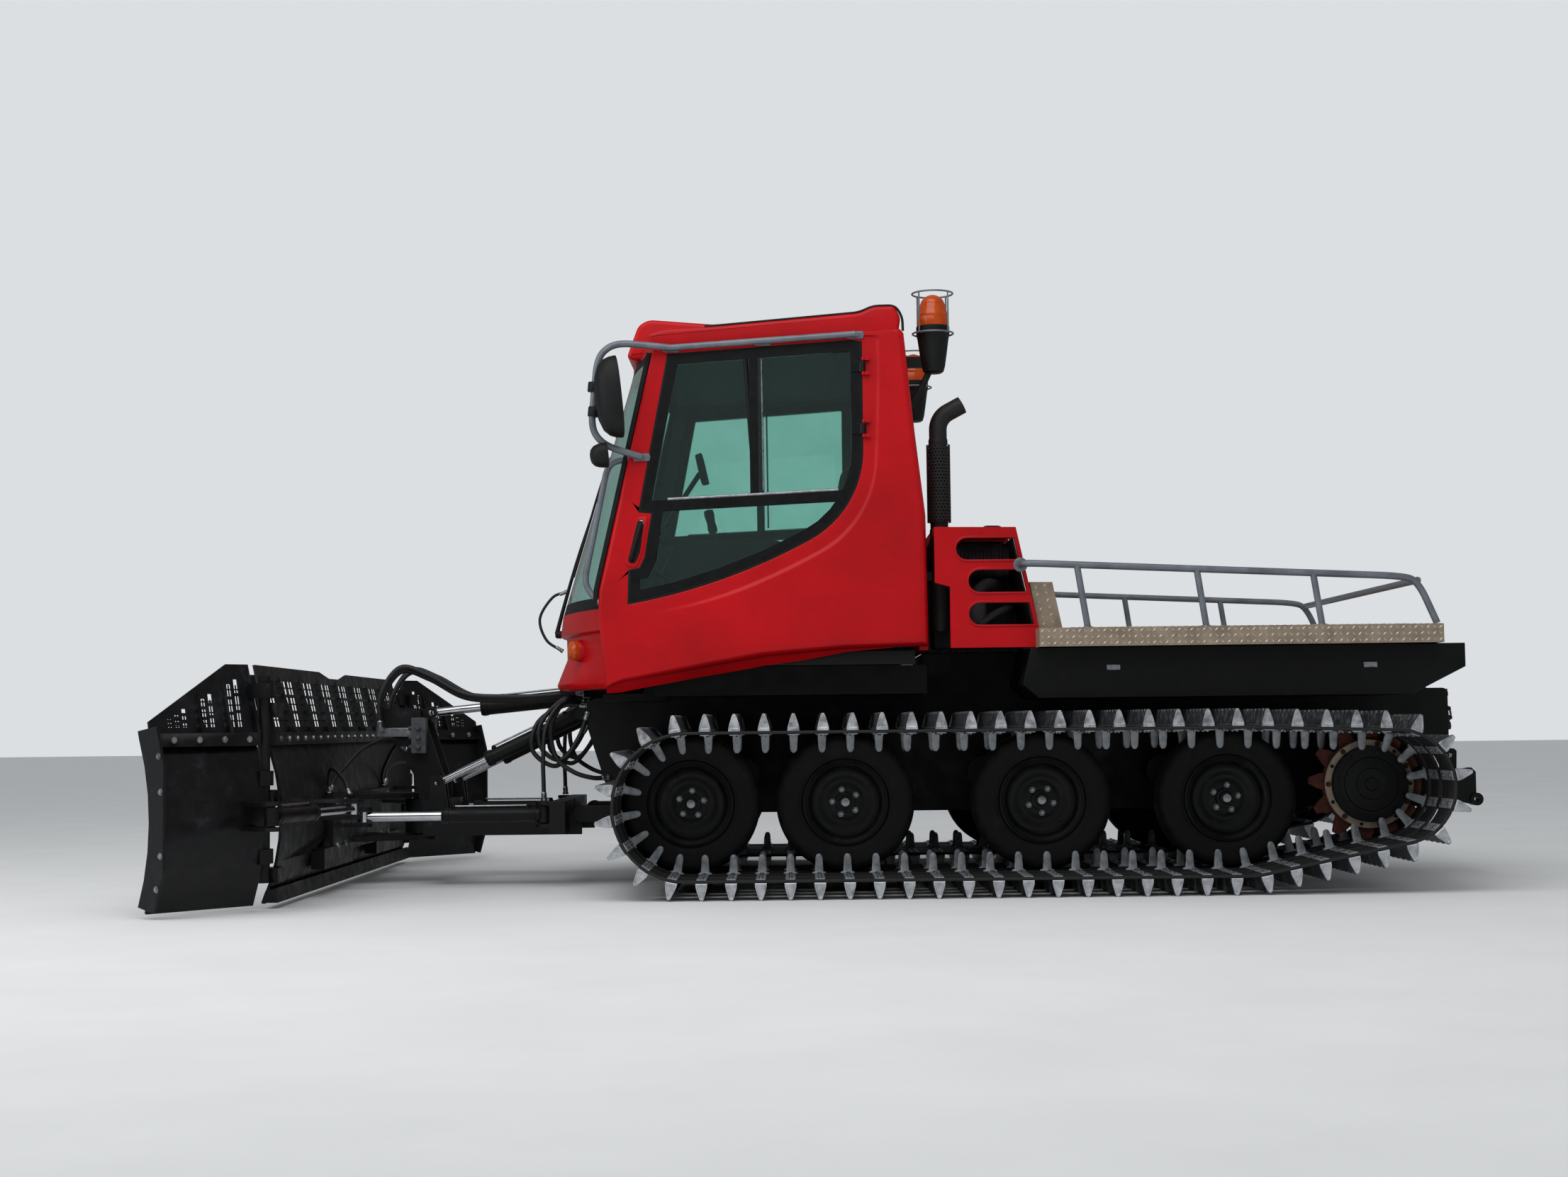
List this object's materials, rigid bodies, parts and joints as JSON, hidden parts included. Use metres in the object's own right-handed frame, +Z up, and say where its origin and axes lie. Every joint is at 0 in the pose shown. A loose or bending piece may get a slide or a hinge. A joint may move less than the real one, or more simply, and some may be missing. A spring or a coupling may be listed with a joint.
{
  "type": "snowcat groomer",
  "caption": "Tracked snow groomer with a glazed cab, a load deck, barred rubber tracks and a lifting, turning front blade with swinging wings.",
  "frame": {"origin": "centre of the base, level with the tips of the track bars", "axes": "+X forward, +Y to the left side of the machine, +Z up"},
  "size_m": [5.831, 4.1551, 2.688],
  "materials": {
    "black_paint": "satin",
    "chrome": "polished",
    "fabric": "woven",
    "glass": "tinted",
    "grey_tube": "satin",
    "iron": "cast",
    "lamp": "clear lens",
    "orange": "translucent lens",
    "plastic": "matte",
    "plate": "chequered and worn",
    "red_paint": "glossy, weathered",
    "rust_red": "worn",
    "steel": "dull",
    "track": "matte, with bare aluminium bars",
    "tyre": "matte"
  },
  "bodies": {
    "chassis": {"chassis_frame": "black_paint", "side_boxes": "black_paint", "wheel_arms": "black_paint", "tyres": "tyre", "rims": "steel", "sprockets": "rust_red", "final_drives": "black_paint", "track_left": "track", "track_right": "track", "cab_floor": "black_paint", "cab_side_left": "red_paint", "cab_side_right": "red_paint", "cab_roof": "red_paint", "cab_nose": "red_paint", "cab_rear_wall": "red_paint", "windscreen": "glass", "rear_window": "glass", "dashboard": "plastic", "steering": "plastic", "seats": "fabric", "lamps": "lamp", "mirrors": "grey_tube", "wiper": "plastic", "beacons": "orange", "engine_block": "iron", "engine_covers": "red_paint", "exhaust": "black_paint", "deck": "plate", "deck_rails": "grey_tube"},
    "push_frame": {"push_frame": "black_paint"},
    "lift_barrels": {"lift_barrels": "black_paint"},
    "lift_rods": {"lift_rods": "chrome"},
    "top_barrel": {"top_barrel": "black_paint"},
    "top_rod": {"top_rod": "chrome"},
    "blade": {"blade": "black_paint"},
    "door_left": {"door_left": "black_paint", "door_glass_left": "glass"},
    "door_right": {"door_right": "black_paint", "door_glass_right": "glass"},
    "hood_lid": {"hood_lid": "red_paint"},
    "rear_lift": {"rear_lift": "black_paint"},
    "rear_barrel": {"rear_barrel": "black_paint"},
    "rear_rod": {"rear_rod": "chrome"},
    "angle_barrel_left": {"angle_barrel_left": "black_paint"},
    "angle_rod_left": {"angle_rod_left": "chrome"},
    "wing_left": {"wing_left": "black_paint"},
    "wing_barrel_left": {"wing_barrel_left": "black_paint"},
    "wing_rod_left": {"wing_rod_left": "chrome"},
    "angle_barrel_right": {"angle_barrel_right": "black_paint"},
    "angle_rod_right": {"angle_rod_right": "chrome"},
    "wing_right": {"wing_right": "black_paint"},
    "wing_barrel_right": {"wing_barrel_right": "black_paint"},
    "wing_rod_right": {"wing_rod_right": "chrome"}
  },
  "joints": [
    {"name": "blade_lift", "type": "hinge", "parent": "chassis", "child": "push_frame", "pos_m": [1.32, 0, 0.33], "axis": [0, -1, 0], "range_deg": [-0.8, 20]},
    {"name": "lift_barrels_swing", "type": "hinge", "parent": "chassis", "child": "lift_barrels", "pos_m": [1.32, 0, 0.8], "axis": [0, -1, 0], "range_deg": [-1.59, 16.53]},
    {"name": "lift_rods_slide", "type": "slide", "parent": "lift_barrels", "child": "lift_rods", "axis": [0.9053, 0, -0.4247], "range_m": [-0.1641, 0.0158]},
    {"name": "top_barrel_swing", "type": "hinge", "parent": "chassis", "child": "top_barrel", "pos_m": [1.335, 0, 0.885], "axis": [0, -1, 0], "range_deg": [-2.18, 22.58]},
    {"name": "top_rod_slide", "type": "slide", "parent": "top_barrel", "child": "top_rod", "axis": [0.9956, 0, -0.0942], "range_m": [-0.2045, 0.0197]},
    {"name": "blade_angle", "type": "hinge", "parent": "push_frame", "child": "blade", "pos_m": [2.13, 0, 0.32], "axis": [0, 0, 1], "range_deg": [-15, 15]},
    {"name": "angle_barrel_left_swing", "type": "hinge", "parent": "push_frame", "child": "angle_barrel_left", "pos_m": [1.48, 0.48, 0.335], "axis": [0, 0, 1], "range_deg": [-4.47, 4.47]},
    {"name": "angle_rod_left_slide", "type": "slide", "parent": "angle_barrel_left", "child": "angle_rod_left", "axis": [0.9953, 0.0971, 0], "range_m": [-0.1581, 0.1581]},
    {"name": "angle_barrel_right_swing", "type": "hinge", "parent": "push_frame", "child": "angle_barrel_right", "pos_m": [1.48, -0.48, 0.335], "axis": [0, 0, 1], "range_deg": [-4.47, 4.47]},
    {"name": "angle_rod_right_slide", "type": "slide", "parent": "angle_barrel_right", "child": "angle_rod_right", "axis": [0.9953, -0.0971, 0], "range_m": [-0.1581, 0.1581]},
    {"name": "wing_left_swing", "type": "hinge", "parent": "blade", "child": "wing_left", "pos_m": [2.51, 1.6, 0.5], "axis": [0, 0, -1], "range_deg": [-80, 5]},
    {"name": "wing_barrel_left_swing", "type": "hinge", "parent": "wing_left", "child": "wing_barrel_left", "pos_m": [2.42243, 1.83012, 0.39], "axis": [0, 0, 1], "range_deg": [-70.27, 8.34]},
    {"name": "wing_rod_left_slide", "type": "slide", "parent": "wing_barrel_left", "child": "wing_rod_left", "axis": [-0.2158, -0.9764, 0], "range_m": [-0.2952, 0.035]},
    {"name": "wing_right_swing", "type": "hinge", "parent": "blade", "child": "wing_right", "pos_m": [2.51, -1.6, 0.5], "axis": [0, 0, 1], "range_deg": [0, 80]},
    {"name": "wing_barrel_right_swing", "type": "hinge", "parent": "wing_right", "child": "wing_barrel_right", "pos_m": [2.26817, -1.55373, 0.39], "axis": [0, 0, -1], "range_deg": [-4.36, 77.1]},
    {"name": "wing_rod_right_slide", "type": "slide", "parent": "wing_barrel_right", "child": "wing_rod_right", "axis": [-0.036, 0.9994, 0], "range_m": [-0.0189, 0.3343]},
    {"name": "door_left_swing", "type": "hinge", "parent": "chassis", "child": "door_left", "pos_m": [-0.008, 0.964, 1.95], "axis": [0, 0, 1], "range_deg": [0, 85]},
    {"name": "door_right_swing", "type": "hinge", "parent": "chassis", "child": "door_right", "pos_m": [-0.008, -0.964, 1.95], "axis": [0, 0, -1], "range_deg": [0, 85]},
    {"name": "hood_lid_lift", "type": "hinge", "parent": "chassis", "child": "hood_lid", "pos_m": [-0.662, 0, 1.584], "axis": [0, -1, 0], "range_deg": [0, 65]},
    {"name": "rear_lift_swing", "type": "hinge", "parent": "chassis", "child": "rear_lift", "pos_m": [-2.62, 0, 0.43], "axis": [0, 1, 0], "range_deg": [0, 18]},
    {"name": "rear_barrel_swing", "type": "hinge", "parent": "chassis", "child": "rear_barrel", "pos_m": [-2.808, 0, 0.85], "axis": [0, 1, 0], "range_deg": [-9.65, 0.55]},
    {"name": "rear_rod_slide", "type": "slide", "parent": "rear_barrel", "child": "rear_rod", "axis": [-0.1244, 0, -0.9922], "range_m": [-0.0723, 0.0041]}
  ],
  "couplings": [
    {"joint": "lift_barrels_swing", "follows": "blade_lift", "ratio": 0.7778},
    {"joint": "lift_rods_slide", "follows": "blade_lift", "m_per_rad": -0.4425},
    {"joint": "top_barrel_swing", "follows": "blade_lift", "ratio": 1.0625},
    {"joint": "top_rod_slide", "follows": "blade_lift", "m_per_rad": -0.5515},
    {"joint": "angle_barrel_left_swing", "follows": "blade_angle", "ratio": 0.2663},
    {"joint": "angle_rod_left_slide", "follows": "blade_angle", "m_per_rad": -0.5392},
    {"joint": "angle_barrel_right_swing", "follows": "blade_angle", "ratio": 0.2663},
    {"joint": "angle_rod_right_slide", "follows": "blade_angle", "m_per_rad": 0.5392},
    {"joint": "wing_barrel_left_swing", "follows": "wing_left_swing", "ratio": 0.8257},
    {"joint": "wing_rod_left_slide", "follows": "wing_left_swing", "m_per_rad": 0.1987},
    {"joint": "wing_barrel_right_swing", "follows": "wing_right_swing", "ratio": 0.9092},
    {"joint": "wing_rod_right_slide", "follows": "wing_right_swing", "m_per_rad": 0.2259},
    {"joint": "rear_barrel_swing", "follows": "rear_lift_swing", "ratio": -0.5057},
    {"joint": "rear_rod_slide", "follows": "rear_lift_swing", "m_per_rad": -0.2172}
  ]
}
